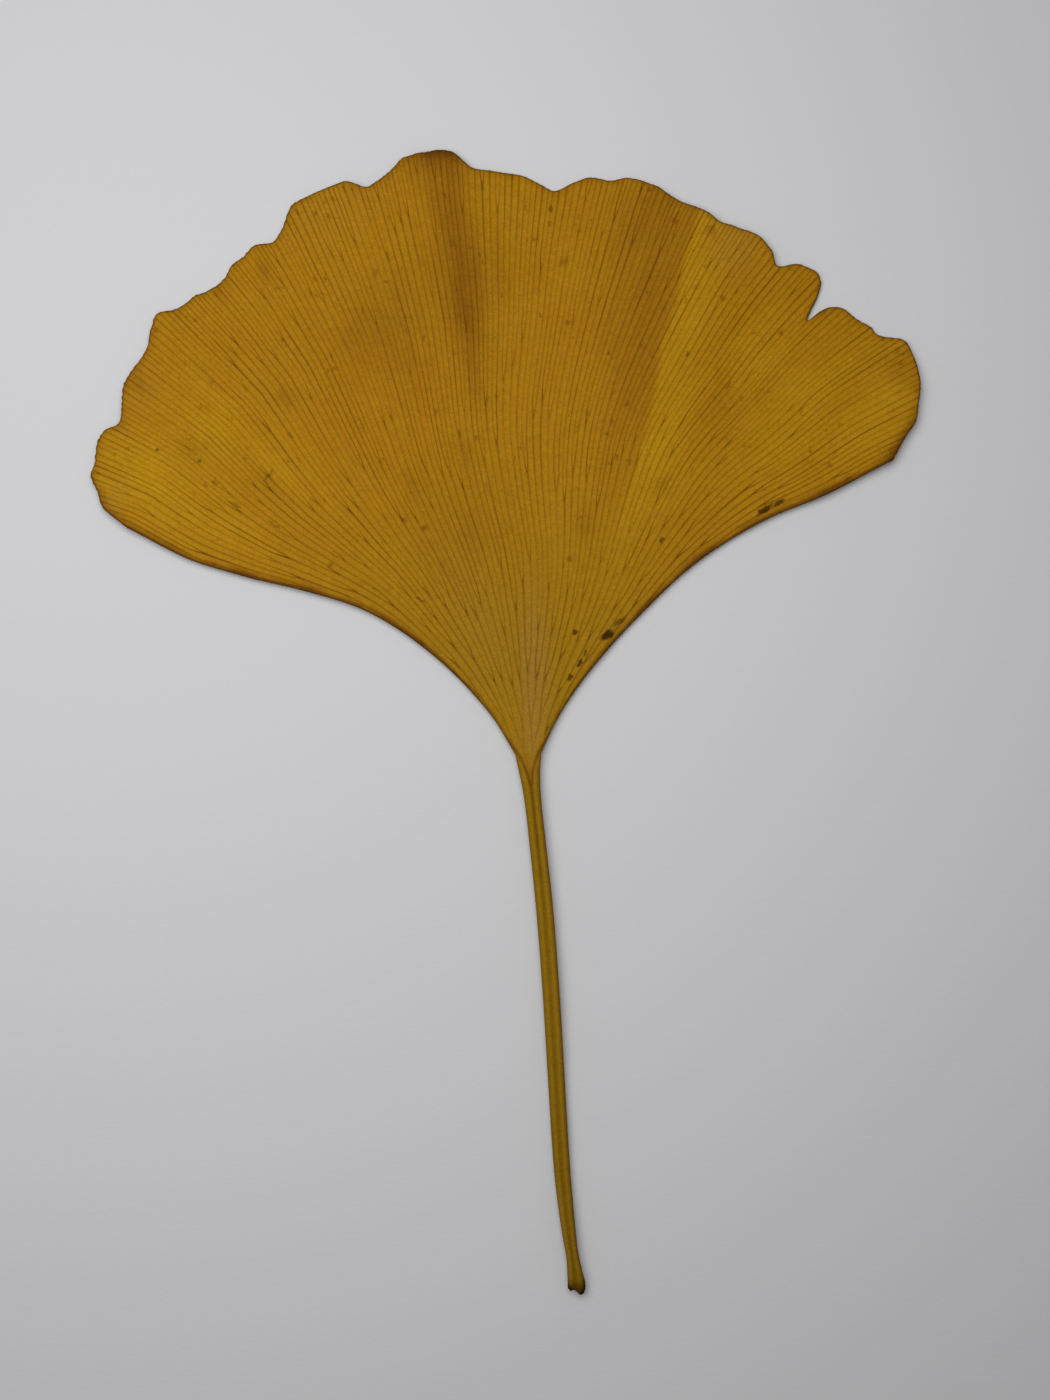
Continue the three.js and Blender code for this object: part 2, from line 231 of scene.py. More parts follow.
# Dead specks of the blade, in the same order
SPECKS = (
    (4.4, 14.7, 0.35, 0.25, 40, 0.8), (7.6, 14.4, 0.9, 0.45, 60, 0.95),
    (8.9, 13.6, 0.6, 0.4, 20, 0.9), (4.9, 11.7, 0.6, 0.25, 25, 0.85),
    (5.4, 12.7, 0.5, 0.2, 10, 0.6), (8.8, 15.7, 1, 0.3, 52, 0.6),
    (3.9, 10.2, 0.45, 0.22, 20, 0.75), (23.2, 26.9, 1.1, 0.35, 55, 0.9),
    (24.6, 27.6, 0.8, 0.3, 60, 0.8), (13, 23.9, 0.4, 0.25, 30, 0.7),
    (2.1, 57.5, 0.4, 0.24, 0, 0.5), (2, 55.9, 0.3, 0.2, 0, 0.3),
    (-36.9, 32.9, 0.25, 0.2, 0, 0.6), (-32.7, 31.7, 0.25, 0.2, 0, 0.55),
    (15.7, 42.5, 0.3, 0.22, 20, 0.55), (7.9, 42.7, 0.25, 0.2, 10, 0.5),
    (-25.8, 30.4, 1, 0.16, 30, 0.4), (-10.8, 17.9, 0.8, 0.16, -60, 0.45),
    (-29.2, 27.4, 1, 0.16, -62, 0.35), (-25.2, 25.4, 0.8, 0.18, -50, 0.35),
)


def srgb(red, green, blue):
    """Colour given as 0 to 255 in a picture, as the linear values that materials take."""
    def linear(value):
        value /= 255
        return value / 12.92 if value <= 0.04045 else ((value + 0.055) / 1.055) ** 2.4
    return linear(red), linear(green), linear(blue)


def mix(start, end, share):
    return start + (end - start) * share


def smooth_step(start, end, value):
    share = np.clip((value - start) / (end - start), 0, 1)
    return share * share * (3 - 2 * share)


def curve_through(points):
    """Smooth curve through (x, y) points that never swings past them."""
    xs, ys = np.array(points, float).T
    widths = np.diff(xs)
    steps = np.diff(ys) / widths
    product = steps[:-1] * steps[1:]
    total = np.where(product > 0, steps[:-1] + steps[1:], 1)
    inner = np.where(product > 0, 2 * product / total, 0)
    slopes = np.concatenate(([steps[0]], inner, [steps[-1]]))

    def value(x):
        i = np.clip(np.searchsorted(xs, x, side="right") - 1, 0, len(xs) - 2)
        t = np.clip((x - xs[i]) / widths[i], 0, 1)
        start_share = (1 + 2 * t) * (1 - t) ** 2
        start = start_share * ys[i] + t * (1 - t) ** 2 * widths[i] * slopes[i]
        end = (1 - start_share) * ys[i + 1] - t * t * (1 - t) * widths[i] * slopes[i + 1]
        return start + end
    return value


left_margin = curve_through(LEFT_MARGIN)
right_margin = curve_through(RIGHT_MARGIN)
outer_edge = curve_through(OUTER_EDGE)
stalk_width = curve_through(STALK_WIDTHS)
torn_end = curve_through(TORN_END)


def vein_angle(across, radius):
    """Angle of a vein at a radius: crowded along the margins at the foot, flaring at the corners."""
    crowding = mix(*CROWDING, smooth_step(*CROWDING_CHANGES, radius))
    share = across * (1 - crowding * (1 - across * across))
    past_left = np.maximum(0, radius - LEFT_MARGIN[-1][0])
    past_right = np.maximum(0, radius - RIGHT_MARGIN[-1][0])
    left = left_margin(radius) - LEFT_FLARE * past_left
    right = right_margin(radius) + RIGHT_FLARE * past_right
    return mix(left, right, (share + 1) / 2)


def smoothed_edge(angle):
    """Outer edge without its lobes, as a mean over a few degrees to each side."""
    return sum(outer_edge(angle + step * LOBES_SMOOTHED_BY) for step in (-2, -1, 0, 1, 2)) / 5


def found_reach(edge):
    """How far each vein reaches before it first meets an edge, as a function of across."""
    across = np.linspace(-1, 1, REACH_SAMPLES)
    radii = np.arange(*EDGE_SEARCH)
    is_inside = radii < edge(vein_angle(across[:, None], radii[None, :]))
    outside = radii[np.argmin(is_inside, axis=1)]
    inside = outside - EDGE_SEARCH[2]
    for _ in range(EDGE_HALVINGS):
        middle = (inside + outside) / 2
        holds = middle < edge(vein_angle(across, middle))
        inside = np.where(holds, middle, inside)
        outside = np.where(holds, outside, middle)
    return lambda values: np.interp(values, across, outside)


lobed_reach = found_reach(outer_edge)
smooth_reach = found_reach(smoothed_edge)


def radius_at(across, share):
    """Radius of the row at a share of the way from the foot to the outer edge."""
    lobes = smooth_step(LOBES_START_AT, 1, share)
    return mix(FOOT_RADIUS, mix(smooth_reach(across), lobed_reach(across), lobes), share)


def lying_height(x, y):
    """Height of the underside over the surface that the leaf lies on."""
    outward = np.where(y > 0, np.hypot(x, y) / TYPICAL_RADIUS, 0)
    angle = np.degrees(np.arctan2(x, np.maximum(y, 1)))
    wave = WAVE_HEIGHT * outward ** 2 * np.cos(2 * math.pi * (angle - WAVE_CREST) / WAVE_REPEAT)
    corner = CORNER_LIFT * outward ** 2 * (angle / CORNER_ANGLE) ** 4
    height = LYING_CLEARANCE + wave + corner
    for spot_x, spot_y, depth, size in LOW_SPOTS:
        height = height - depth * np.exp(-((x - spot_x) ** 2 + (y - spot_y) ** 2) / size ** 2)
    return np.maximum(0, height)


def ripples(x, y, wavelength, seed):
    """Gentle unevenness from -1 to 1, made of a few crossed waves."""
    rng = np.random.default_rng(seed)
    total = 0
    for _ in range(RIPPLE_WAVES):
        turn, phase = rng.uniform(0, 2 * math.pi, 2)
        length = wavelength * rng.uniform(*RIPPLE_LENGTHS)
        along = x * math.cos(turn) + y * math.sin(turn)
        total = total + np.sin(2 * math.pi * along / length + phase)
    return total / (RIPPLE_WAVES / 2)


def patches_at(patches, x, y):
    """How strongly a set of soft patches colours each place."""
    clear = np.ones_like(x)
    for middle_x, middle_y, length, width, lean, strength in patches:
        turn = math.radians(lean)
        along = (x - middle_x) * math.sin(turn) + (y - middle_y) * math.cos(turn)
        aside = (x - middle_x) * math.cos(turn) - (y - middle_y) * math.sin(turn)
        distance = (along / length) ** 2 + (aside / width) ** 2
        clear = clear * (1 - strength * np.exp(-distance))
    return 1 - clear


class Veins:
    """The veins of one row, each with the stretch that it feeds and the line that it follows."""

    def __init__(self, low, high, source, born):
        self.low = low
        self.high = high
        self.source = source
        self.born = born

    @property
    def middle(self):
        return (self.low + self.high) / 2

    def lines(self, share):
        """Across value of each vein, on its way from its fork to its own stretch's middle."""
        opened = smooth_step(0, FORK_OPENS_OVER, radius_at(self.middle, share) - self.born)
        return mix(self.source, self.middle, opened)

    def widths(self, share):
        radius = radius_at(self.middle, share)
        angles = vein_angle(self.high, radius) - vein_angle(self.low, radius)
        return np.radians(angles) * radius

    def forked(self, forks, share, splits):
        """The veins after each fork has made two of one."""
        lines = self.lines(share)
        radius = radius_at(self.middle, share)
        parts = []
        for i, forks_here in enumerate(forks):
            if forks_here:
                split = mix(self.low[i], self.high[i], splits[i])
                parts.append((self.low[i], split, lines[i], radius[i]))
                parts.append((split, self.high[i], lines[i], radius[i]))
            else:
                parts.append((self.low[i], self.high[i], self.source[i], self.born[i]))
        return Veins(*np.array(parts).T)


def columns_across(low, line, high):
    """Across values of a row: a valley, a flank, a vein, a flank and so on to the last valley."""
    quarters = np.stack((low, (low + line) / 2, line, (line + high) / 2), axis=1)
    return np.append(quarters.ravel(), high[-1])


class LeafSheet:
    """Collects the leaf's rows, its triangles and the lines of its veins, in millimetres."""

    def __init__(self, blade):
        self.blade = blade
        self.rows = []
        self.squares = []
        self.triangles = []
        self.vein_lines = []
        self.count = 0
        self.grow()
        self.finish()

    def grow(self):
        blade = self.blade
        rng = np.random.default_rng(blade.seed)
        bounds = np.linspace(-1, 1, STARTING_VEINS + 1)
        start = (bounds[:-1] + bounds[1:]) / 2
        veins = Veins(bounds[:-1], bounds[1:], start, np.full(STARTING_VEINS, STARTING_RADIUS))
        middle = smooth_path(STALK_MIDDLE, STALK_ROWS)
        for i, (place, heading) in enumerate(middle):
            self.add_stalk_row(place, heading, veins, is_end=i == 0)
        shares = self.blade_shares()
        open_lines = [[] for _ in range(STARTING_VEINS)]
        pitch = blade.vein_pitch / MM
        for i, share in enumerate(shares):
            forks = np.zeros(len(veins.low), bool)
            if 0 < i < len(shares) - len(RIM_ROWS):
                forks = veins.widths(share) > pitch * mix(*FORK_WIDTHS, rng.random(len(forks)))
            splits = 0.5 + FORK_UNEVENNESS * rng.uniform(-1, 1, len(forks))
            if forks.any():
                veins = veins.forked(forks, shares[i - 1], splits)
            open_lines = self.carry_lines(open_lines, forks)
            self.add_blade_row(share, veins, forks, open_lines)
        self.vein_lines.extend(open_lines)

    def blade_shares(self):
        """Rows from the foot to the rim, close together where the rim turns over."""
        blade = self.blade
        span = TYPICAL_RADIUS - FOOT_RADIUS
        near_rim = [1 - distance / span for distance in RIM_ROWS]
        steps = round(span / (blade.row_spacing / MM))
        return [*np.linspace(0, near_rim[0], steps)[:-1], *near_rim, 1.0]

    def carry_lines(self, open_lines, forks):
        """A line that forks ends there, and two new ones start from its last point."""
        carried = []
        for line, forks_here in zip(open_lines, forks):
            if forks_here:
                self.vein_lines.append(line)
                carried.extend(([line[-1]], [line[-1]]))
            else:
                carried.append(line)
        return carried

    def add_row(self, x, y, across, along, vein, forks=None):
        """Adds a row of places, joined to the row below it."""
        row = np.stack((x, y, across, along, vein), axis=1)
        numbers = self.count + np.arange(len(row))
        if self.rows:
            self.join(self.numbers_below, numbers, forks)
        self.rows.append(row)
        self.count += len(row)
        self.numbers_below = numbers
        return numbers

    def join(self, below, above, forks):
        """Squares between two rows. A vein that forks meets the middle of two new stretches."""
        at = 0
        for i in range((len(below) - 1) // COLUMNS):
            low = below[COLUMNS * i:COLUMNS * (i + 1) + 1]
            if forks is not None and forks[i]:
                up = above[at:at + 2 * COLUMNS + 1]
                for k, j in enumerate((0, 1, 6, 7)):
                    self.squares.append((low[k], low[k + 1], up[j + 1], up[j]))
                for k in range(2, 6):
                    self.triangles.append((low[2], up[k + 1], up[k]))
                at += 2 * COLUMNS
            else:
                up = above[at:at + COLUMNS + 1]
                for k in range(COLUMNS):
                    self.squares.append((low[k], low[k + 1], up[k + 1], up[k]))
                at += COLUMNS

    def cut_squares(self):
        """Cuts each square in two, so that no half has only rim points and so no thickness."""
        a, b, c, d = np.array(self.squares).T
        flat = self.rim[a] & self.rim[c] & (self.rim[b] | self.rim[d])
        first = np.stack((a, b, np.where(flat, d, c)), axis=1)
        second = np.stack((np.where(flat, b, a), c, d), axis=1)
        return np.concatenate((np.array(self.triangles), first, second))

    def add_stalk_row(self, place, heading, veins, is_end):
        across = columns_across(veins.low, veins.middle, veins.high)
        side = np.sin(across * math.pi / 2)
        half = stalk_width(place[1]) / 2
        torn = torn_end(across) if is_end else np.zeros_like(across)
        if is_end:
            fray = np.random.default_rng(self.blade.seed + 1).uniform(-1, 1, len(across))
            torn = torn + TORN_FRAYING * fray
        x = place[0] + side * half * heading[1] - torn * heading[0]
        y = place[1] - side * half * heading[0] - torn * heading[1]
        self.add_row(x, y, side, np.full_like(across, place[1]), np.zeros_like(across))

    def add_blade_row(self, share, veins, forks, open_lines):
        across = columns_across(veins.low, veins.lines(share), veins.high)
        radius = radius_at(across, share)
        angle = np.radians(vein_angle(across, radius))
        x = radius * np.sin(angle)
        y = radius * np.cos(angle)
        wander = WANDER * smooth_step(*WANDER_GROWS, radius) * (1 - smooth_step(*WANDER_ENDS, share))
        wander = wander * (1 - across ** 4)
        x = x + wander * ripples(x, y, WANDER_REPEAT, WANDER_SEEDS[0])
        y = y + wander * ripples(x, y, WANDER_REPEAT, WANDER_SEEDS[1])
        tooth = self.teeth(across, share)
        x = x + tooth * np.sin(angle)
        y = y + tooth * np.cos(angle)
        vein = np.tile(VEIN_PROFILE, len(veins.low))
        numbers = self.add_row(x, y, across, radius, np.append(vein, 0.0), forks)
        for line, number in zip(open_lines, numbers[COLUMNS // 2::COLUMNS]):
            line.append(number)

    def teeth(self, across, share):
        """How far each place of a row is pushed out or in, so that the rim gets its fine teeth."""
        grown = smooth_step(TEETH_START_AT, 1, share)
        if not grown:
            return np.zeros_like(across)
        pushed = np.random.default_rng(self.blade.seed + 2).uniform(-1, 1, len(across) // COLUMNS)
        pushed = np.convolve(pushed, TOOTH_BLUR, "same")
        teeth = np.append(np.repeat(pushed, COLUMNS) * np.tile(TOOTH_PROFILE, len(pushed)), 0)
        shallow = mix(1, SHALLOW_TEETH, smooth_step(*TEETH_TURN_SHALLOW, across))
        return grown * TOOTH_HEIGHT * teeth * shallow

    def outline_numbers(self):
        starts = np.cumsum([0] + [len(row) for row in self.rows])
        left = starts[:-1]
        right = starts[1:] - 1
        first = np.arange(starts[0], starts[1])
        last = np.arange(starts[-2], starts[-1])
        return np.concatenate((first, right[1:], last[::-1][1:], left[::-1][1:]))

    def finish(self):
        """Heights, thickness and the values that the finishes read, for every place."""
        blade = self.blade
        rows = np.concatenate(self.rows)
        self.x, self.y, self.across, self.along, self.vein = rows.T
        self.outline = self.outline_numbers()
        self.edge = distance_to(self.outline, self.x, self.y)
        self.stalk = 1 - smooth_step(*STALK_FADES, self.along)
        grown = smooth_step(*BLADE_GROWS, self.along)
        thickness = blade.thickness / MM
        section = (1 - np.minimum(1, np.abs(self.across)) ** 4) ** 0.5
        near = np.clip(self.edge / (thickness / 2), 0, 1)
        rim = np.sqrt(1 - (1 - near) ** 2)
        full = mix(thickness * rim, STALK_THICKNESS * section, self.stalk)
        half = full / 2
        swell = blade.ridge_height / MM * self.vein * grown * rim
        groove = STALK_GROOVE * np.exp(-(self.across / STALK_GROOVE_WIDTH) ** 2) * self.stalk
        relief = blade.relief / MM * grown * ripples(self.x, self.y, RELIEF_REPEAT, RELIEF_SEED)
        lying = lying_height(self.x, self.y) + np.maximum(0, relief + blade.relief / MM)
        middle = lying + mix(thickness, STALK_THICKNESS, self.stalk) / 2
        self.top = middle + half + swell - groove * section
        self.under = np.maximum(0, middle - half - swell)
        self.rim = np.zeros(len(self.x), bool)
        self.rim[self.outline] = True
        self.faces = self.cut_squares()
        self.top[self.outline] = middle[self.outline]
        self.under[self.outline] = middle[self.outline]


def smooth_path(points, count):
    """Places and headings along a smooth line through points, evenly spaced in y."""
    points = np.array(points, float)
    across = curve_through([(y, x) for x, y in points])
    ys = np.linspace(points[0, 1], points[-1, 1], count + 1)
    xs = across(ys)
    slope = np.gradient(xs, ys)
    length = np.hypot(slope, 1)
    return [((x, y), (s / n, 1 / n)) for x, y, s, n in zip(xs, ys, slope, length)]


def distance_to(outline, x, y):
    """Distance of every place to the outline, in the flat."""
    loop = np.stack((x[outline], y[outline]), axis=1)
    ahead = np.roll(loop, -1, axis=0)
    shares = np.linspace(0, 1, OUTLINE_PARTS, endpoint=False)[:, None, None]
    points = (loop + (ahead - loop) * shares).reshape(-1, 2)
    tree = kdtree.KDTree(len(points))
    for i, (px, py) in enumerate(points):
        tree.insert((px, py, 0), i)
    tree.balance()
    return np.array([tree.find((px, py, 0))[2] for px, py in zip(x, y)])


def shift_to_frame(sheet):
    """Moves the foot so that the leaf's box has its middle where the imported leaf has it."""
    box = zip(*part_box("leaf"))
    return tuple(
        (low + high) / 2 / MM - (values.min() + values.max()) / 2
        for (low, high), values in zip(box, (sheet.x, sheet.y))
    )


def give_values(mesh, values):
    """Stores what the finishes read at every vertex."""
    for name, value in values.items():
        attribute = mesh.attributes.new(name, "FLOAT", "POINT")
        attribute.data.foreach_set("value", np.asarray(value, np.float32))


def surface_values(sheet):
    x, y = sheet.x, sheet.y
    angle = np.degrees(np.arctan2(x, np.maximum(y, 1)))
    radius = sheet.along
    border_angle = mix(*BORDER_ANGLES, smooth_step(*BORDER_TURNS, radius))
    border = angle - border_angle + BORDER_WAVER * ripples(x, y, *BORDER_RIPPLES)
    browned = smooth_step(*BROWN_COMES, border) * smooth_step(*BROWN_GOES, border)
    browned = browned * smooth_step(*BROWN_RADII, radius)
    yellowed = smooth_step(*YELLOW_COMES, border) * smooth_step(*YELLOW_GOES, border)
    yellowed = yellowed * smooth_step(*YELLOW_RADII, radius)
    margin = smooth_step(*MARGIN_RADII, radius) * smooth_step(*MARGIN_WIDTH, sheet.edge)
    margin = margin * smooth_step(*MARGIN_ACROSS, np.abs(sheet.across))
    margin = margin * (1 - MARGIN_UNEVENNESS + MARGIN_UNEVENNESS * ripples(x, y, *MARGIN_RIPPLES))
    browns = (1 - patches_at(BROWN_PATCHES, x, y)) * (1 - BROWNED * browned)
    browns = browns * (1 - MARGIN_BROWN * margin)
    return {
        "brown": 1 - browns,
        "orange": patches_at(ORANGE_PATCHES, x, y),
        "gold": 1 - (1 - patches_at(GOLD_PATCHES, x, y)) * (1 - YELLOWED * yellowed),
        "pale": patches_at(PALE_PATCHES, x, y),
        **{name: getattr(sheet, name) for name in ("edge", "stalk", "along", "across", "vein")},
    }


def placed(name, data):
    item = bpy.data.objects.new(name, data)
    bpy.context.scene.collection.objects.link(item)
    return item


def finished_object(name, mesh):
    piece = placed(name, mesh)
    for face in mesh.polygons:
        face.use_smooth = True
    return piece


def blade_mesh(sheet):
    """Closed mesh of blade and stalk: a top and an underside that share their rim."""
    shift_x, shift_y = shift_to_frame(sheet)
    count = sheet.count
    inner = np.flatnonzero(~sheet.rim)
    under_number = np.arange(count)
    under_number[inner] = count + np.arange(len(inner))
    top = np.stack((sheet.x + shift_x, sheet.y + shift_y, sheet.top), axis=1)
    under = np.stack((sheet.x + shift_x, sheet.y + shift_y, sheet.under), axis=1)[inner]
    faces = np.concatenate((sheet.faces, under_number[sheet.faces[:, ::-1]]))
    mesh = bpy.data.meshes.new("leaf_blade")
    mesh.from_pydata((np.concatenate((top, under)) * MM).tolist(), [], faces.tolist())
    values = surface_values(sheet)
    give_values(mesh, {
        name: np.concatenate((value, value[inner])) for name, value in values.items()
    })
    mesh.update()
    return mesh


def vein_skeleton(sheet, veins):
    """The middle line of every vein, with its width and the height that carries it proud."""
    shift_x, shift_y = shift_to_frame(sheet)
    numbers = np.concatenate([np.array(line) for line in sheet.vein_lines])
    lengths = [len(line) for line in sheet.vein_lines]
    starts = np.cumsum([0] + lengths[:-1])
    edges = [(s + k, s + k + 1) for s, n in zip(starts, lengths) for k in range(n - 1)]
    along = sheet.along[numbers]
    middle = (sheet.top[numbers] + sheet.under[numbers]) / 2
    places = np.stack((sheet.x[numbers] + shift_x, sheet.y[numbers] + shift_y, middle), axis=1)
    narrowed = mix(VEIN.foot_width, 1, smooth_step(*VEIN.narrows, along))
    narrowed = narrowed * (1 - VEIN.thins_by * smooth_step(*VEIN.thins, along))
    ending = smooth_step(*VEIN.ends, sheet.edge[numbers])
    half_width = veins.width / MM / 2 * narrowed * mix(VEIN.end_width, 1, ending)
    risen = smooth_step(*VEIN.rises, along)
    proud = veins.height / MM * risen * mix(VEIN.end_height, 1, ending)
    half_height = (sheet.top[numbers] - sheet.under[numbers]) / 2 + proud - VEIN.sinks_by * (1 - risen)
    mesh = bpy.data.meshes.new("vein_skeleton")
    mesh.from_pydata((places * MM).tolist(), edges, [])
    values = {name: value[numbers] for name, value in surface_values(sheet).items()}
    values["half_width"] = half_width * MM
    values["stretch"] = np.maximum(VEIN.least_stretch, half_height / half_width)
    values["middle_height"] = middle * MM
    give_values(mesh, values)
    return mesh


def new_node(tree, kind, sockets=None, **settings):
    """Adds a node to a tree, with its settings, its values and its links."""
    made = tree.nodes.new(kind)
    for name, value in settings.items():
        setattr(made, name, value)
    for name, value in (sockets or {}).items():
        value = getattr(value, "socket", value)
        if isinstance(value, bpy.types.NodeSocket):
            tree.links.new(value, made.inputs[name])
        else:
            made.inputs[name].default_value = value
    return made


def vein_tree():
    """Geometry nodes that turn the skeleton's lines into veins that stand proud on both faces."""
    tree = bpy.data.node_groups.new("Vein Builder", "GeometryNodeTree")
    inputs = (
        ("Skeleton", "Geometry", None), ("Fullness", "Float", 1.0), ("Sides", "Int", 6),
        ("Finish", "Material", None),
    )
    for name, kind, default in inputs:
        made = tree.interface.new_socket(name, in_out="INPUT", socket_type="NodeSocket" + kind)
        if default is not None:
            made.default_value = default
    tree.interface.new_socket("Veins", in_out="OUTPUT", socket_type="NodeSocketGeometry")

    def node(kind, sockets=None, output=0, **settings):
        return new_node(tree, kind, sockets, **settings).outputs[output]

    def stored(name):
        return node("GeometryNodeInputNamedAttribute", {"Name": name}, "Attribute", data_type="FLOAT")

    def maths(operation, first, second):
        return node("ShaderNodeMath", {0: first, 1: second}, operation=operation)

    given = tree.nodes.new("NodeGroupInput").outputs
    curves = node("GeometryNodeMeshToCurve", {"Mesh": given["Skeleton"]})
    upright = node("GeometryNodeSetCurveNormal", {"Curve": curves}, mode="Z_UP")
    circle = {"Resolution": given["Sides"], "Radius": 1.0}
    tubes = node("GeometryNodeCurveToMesh", {
        "Curve": upright, "Profile Curve": node("GeometryNodeCurvePrimitiveCircle", circle, mode="RADIUS"),
        "Scale": maths("MULTIPLY", stored("half_width"), given["Fullness"]), "Fill Caps": True,
    })
    height = node("ShaderNodeSeparateXYZ", {"Vector": node("GeometryNodeInputPosition")}, "Z")
    raised = maths("SUBTRACT", height, stored("middle_height"))
    stretched = maths("MULTIPLY", raised, maths("SUBTRACT", stored("stretch"), 1.0))
    offset = node("ShaderNodeCombineXYZ", {"Z": stretched})
    fitted = node("GeometryNodeSetPosition", {"Geometry": tubes, "Offset": offset})
    smooth = node("GeometryNodeSetShadeSmooth", {"Geometry": fitted})
    real = node("GeometryNodeRealizeInstances", {"Geometry": smooth})
    finished = node("GeometryNodeSetMaterial", {"Geometry": real, "Material": given["Finish"]})
    new_node(tree, "NodeGroupOutput", {"Veins": finished})
    return tree


def built_by_nodes(name, skeleton, tree, inputs):
    """Runs a geometry node tree on a mesh and keeps the result as a plain mesh."""
    source = placed(name + "_source", skeleton)
    modifier = source.modifiers.new("Builder", "NODES")
    modifier.node_group = tree
    for item in tree.interface.items_tree:
        if item.in_out == "INPUT" and item.name in inputs:
            modifier[item.identifier] = inputs[item.name]
    depsgraph = bpy.context.evaluated_depsgraph_get()
    mesh = bpy.data.meshes.new_from_object(source.evaluated_get(depsgraph))
    mesh.name = name
    bpy.data.objects.remove(source)
    return finished_object(name, mesh)


def wired_maths(operation, swapped=False):
    """A method of Wired that adds a maths node, with its values swapped where the other comes first."""
    def method(self, other):
        first, second = (other, self) if swapped else (self, other)
        return self.finish.maths(operation, first, second)
    return method


class Wired:
    """One value of a finish: a socket, with the maths that the leaf's finishes use."""

    def __init__(self, finish, socket):
        self.finish = finish
        self.socket = socket

    __add__ = __radd__ = wired_maths("ADD")
    __mul__ = __rmul__ = wired_maths("MULTIPLY")
    __sub__ = wired_maths("SUBTRACT")
    __rsub__ = wired_maths("SUBTRACT", swapped=True)
    __truediv__ = wired_maths("DIVIDE")
    __pow__ = wired_maths("POWER")


class Finish:
    """A material and the means to wire its nodes."""

    def __init__(self, name):
        self.material = bpy.data.materials.new(name)
        self.material.use_nodes = True
        self.tree = self.material.node_tree
        self.tree.nodes.clear()

    def node(self, kind, sockets=None, output=0, **settings):
        return Wired(self, new_node(self.tree, kind, sockets, **settings).outputs[output])

    def maths(self, operation, first, second):
        return self.node("ShaderNodeMath", {0: first, 1: second}, operation=operation)

    def vector_maths(self, operation, first, second, output="Vector"):
        sockets = {0: first, 1: second}
        return self.node("ShaderNodeVectorMath", sockets, output, operation=operation)

    def stored(self, name):
        return self.node("ShaderNodeAttribute", output="Fac", attribute_name=name)

    def step(self, value, start, end):
        """0 before the start and 1 past the end, smooth between them, also where the end is lower."""
        sockets = {0: value, 1: start, 2: end}
        return self.node("ShaderNodeMapRange", sockets, interpolation_type="SMOOTHSTEP")

    def blend(self, first, second, share, mode="MIX"):
        sockets = {0: share, 6: first, 7: second}
        return self.node("ShaderNodeMix", sockets, 2, data_type="RGBA", blend_type=mode)

    def noise(self, place, scale, detail=2.0, roughness=0.5, output=0):
        return self.node("ShaderNodeTexNoise", {
            "Vector": place, "Scale": scale, "Detail": detail, "Roughness": roughness,
        }, output)

    def frayed(self, place, scale, reach):
        """The same place moved unevenly, by up to half the reach to every side."""
        cloud = self.vector_maths("ADD", self.noise(place, scale, output="Color"), (-0.5, -0.5, -0.5))
        offset = self.vector_maths("MULTIPLY", cloud, (reach, reach, 0))
        return self.vector_maths("ADD", place, offset)

    def spots(self, place, scale, core, rim, cover):
        """Round spots scattered unevenly, with full cover within the core and none past the rim."""
        cells = self.node("ShaderNodeTexVoronoi", {"Vector": place, "Scale": scale, "Randomness": 1})
        return self.step(cells, rim, core) * cover

    def place(self):
        return self.node("ShaderNodeTexCoord", output="Object")

    def vector(self, x, y, z):
        return self.node("ShaderNodeCombineXYZ", {0: x, 1: y, 2: z})

    def bump(self, height, strength, depth):
        sockets = {"Strength": strength, "Distance": depth, "Height": height}
        return self.node("ShaderNodeBump", sockets)

    def surface(self, sockets):
        shader = self.node("ShaderNodeBsdfPrincipled", sockets)
        new_node(self.tree, "ShaderNodeOutputMaterial", {"Surface": shader})
        return self.material


def opaque(colour):
    return (*colour, 1.0)


# Noises over the flat leaf: scale a metre, detail, roughness
NOISES = {
    "clouds": (110, 3, 0.6), "blotches": (480, 3, 0.6), "mottle": (1500, 3, 0.6),
    "grain": (4200, 2, 0.65), "spot_flocks": (150, 1), "dash_flocks": (300, 2),
}
# Noises drawn out along the veins: turns across, turns a millimetre along, detail, roughness
STREAKS = (34, 0.11, 3, 0.55)
DASHES = (75, 0.8, 2, 0.55)
TONES = (90, 0.07, 2, 0.5)
# The depth at which each of them is read, which for the streaks changes along the stalk
STREAK_DEPTH = 3
DASH_DEPTH = 9.1
TONE_DEPTH = 3.7
# Spots: scale a metre, core and rim as shares of a cell, cover
SMALL_SPOTS = (420, 0.03, 0.2, 0.6)
LARGE_SPOTS = (130, 0.02, 0.11, 0.45)
# Offsets that fray spots and specks: scale a metre, reach
SPOT_DRIFT = (500, 0.9 * MM)
SPECK_DRIFT = (1900, 0.6 * MM)

